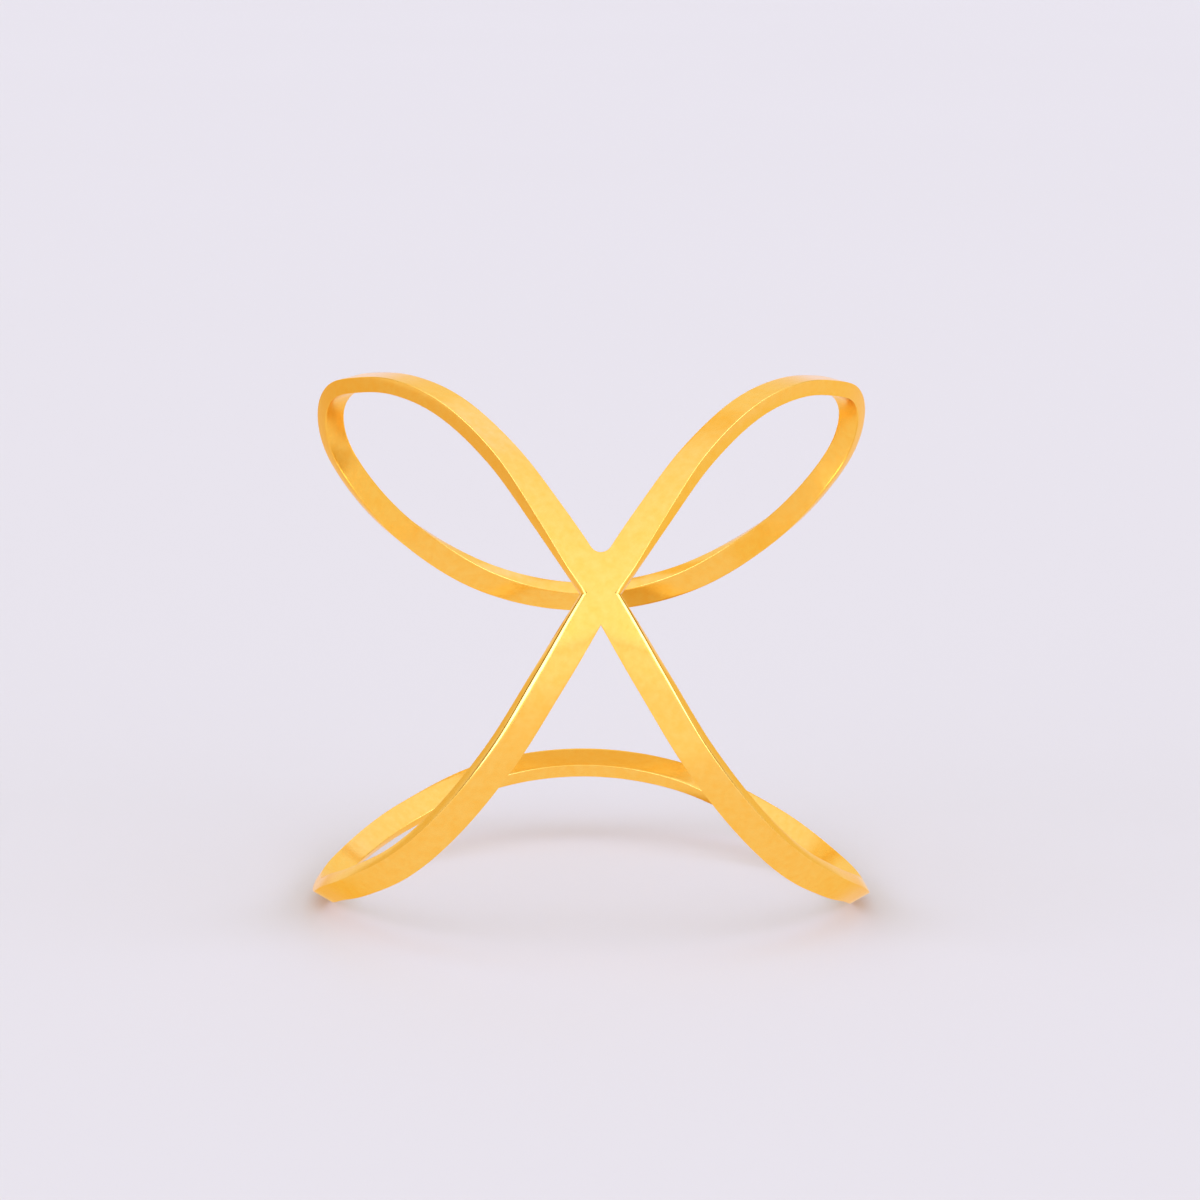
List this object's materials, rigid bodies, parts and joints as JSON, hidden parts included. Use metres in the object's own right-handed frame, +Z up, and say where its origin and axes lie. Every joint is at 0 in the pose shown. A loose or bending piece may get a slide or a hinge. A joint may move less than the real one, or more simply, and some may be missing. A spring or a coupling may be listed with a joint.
{
  "type": "crossover ring",
  "caption": "Finger ring of one narrow flat band whose two turns cross as an X at the front and run apart at the back.",
  "frame": {"origin": "on the surface that the ring lies on, under the middle of its box", "axes": "+Z up, -Y towards the crossing at the front of the ring, X from side to side"},
  "size_m": [0.0196, 0.021, 0.0188],
  "materials": {
    "gold": "polished yellow gold colour"
  },
  "bodies": {
    "root": {"crossover_band": "gold"}
  },
  "joints": []
}
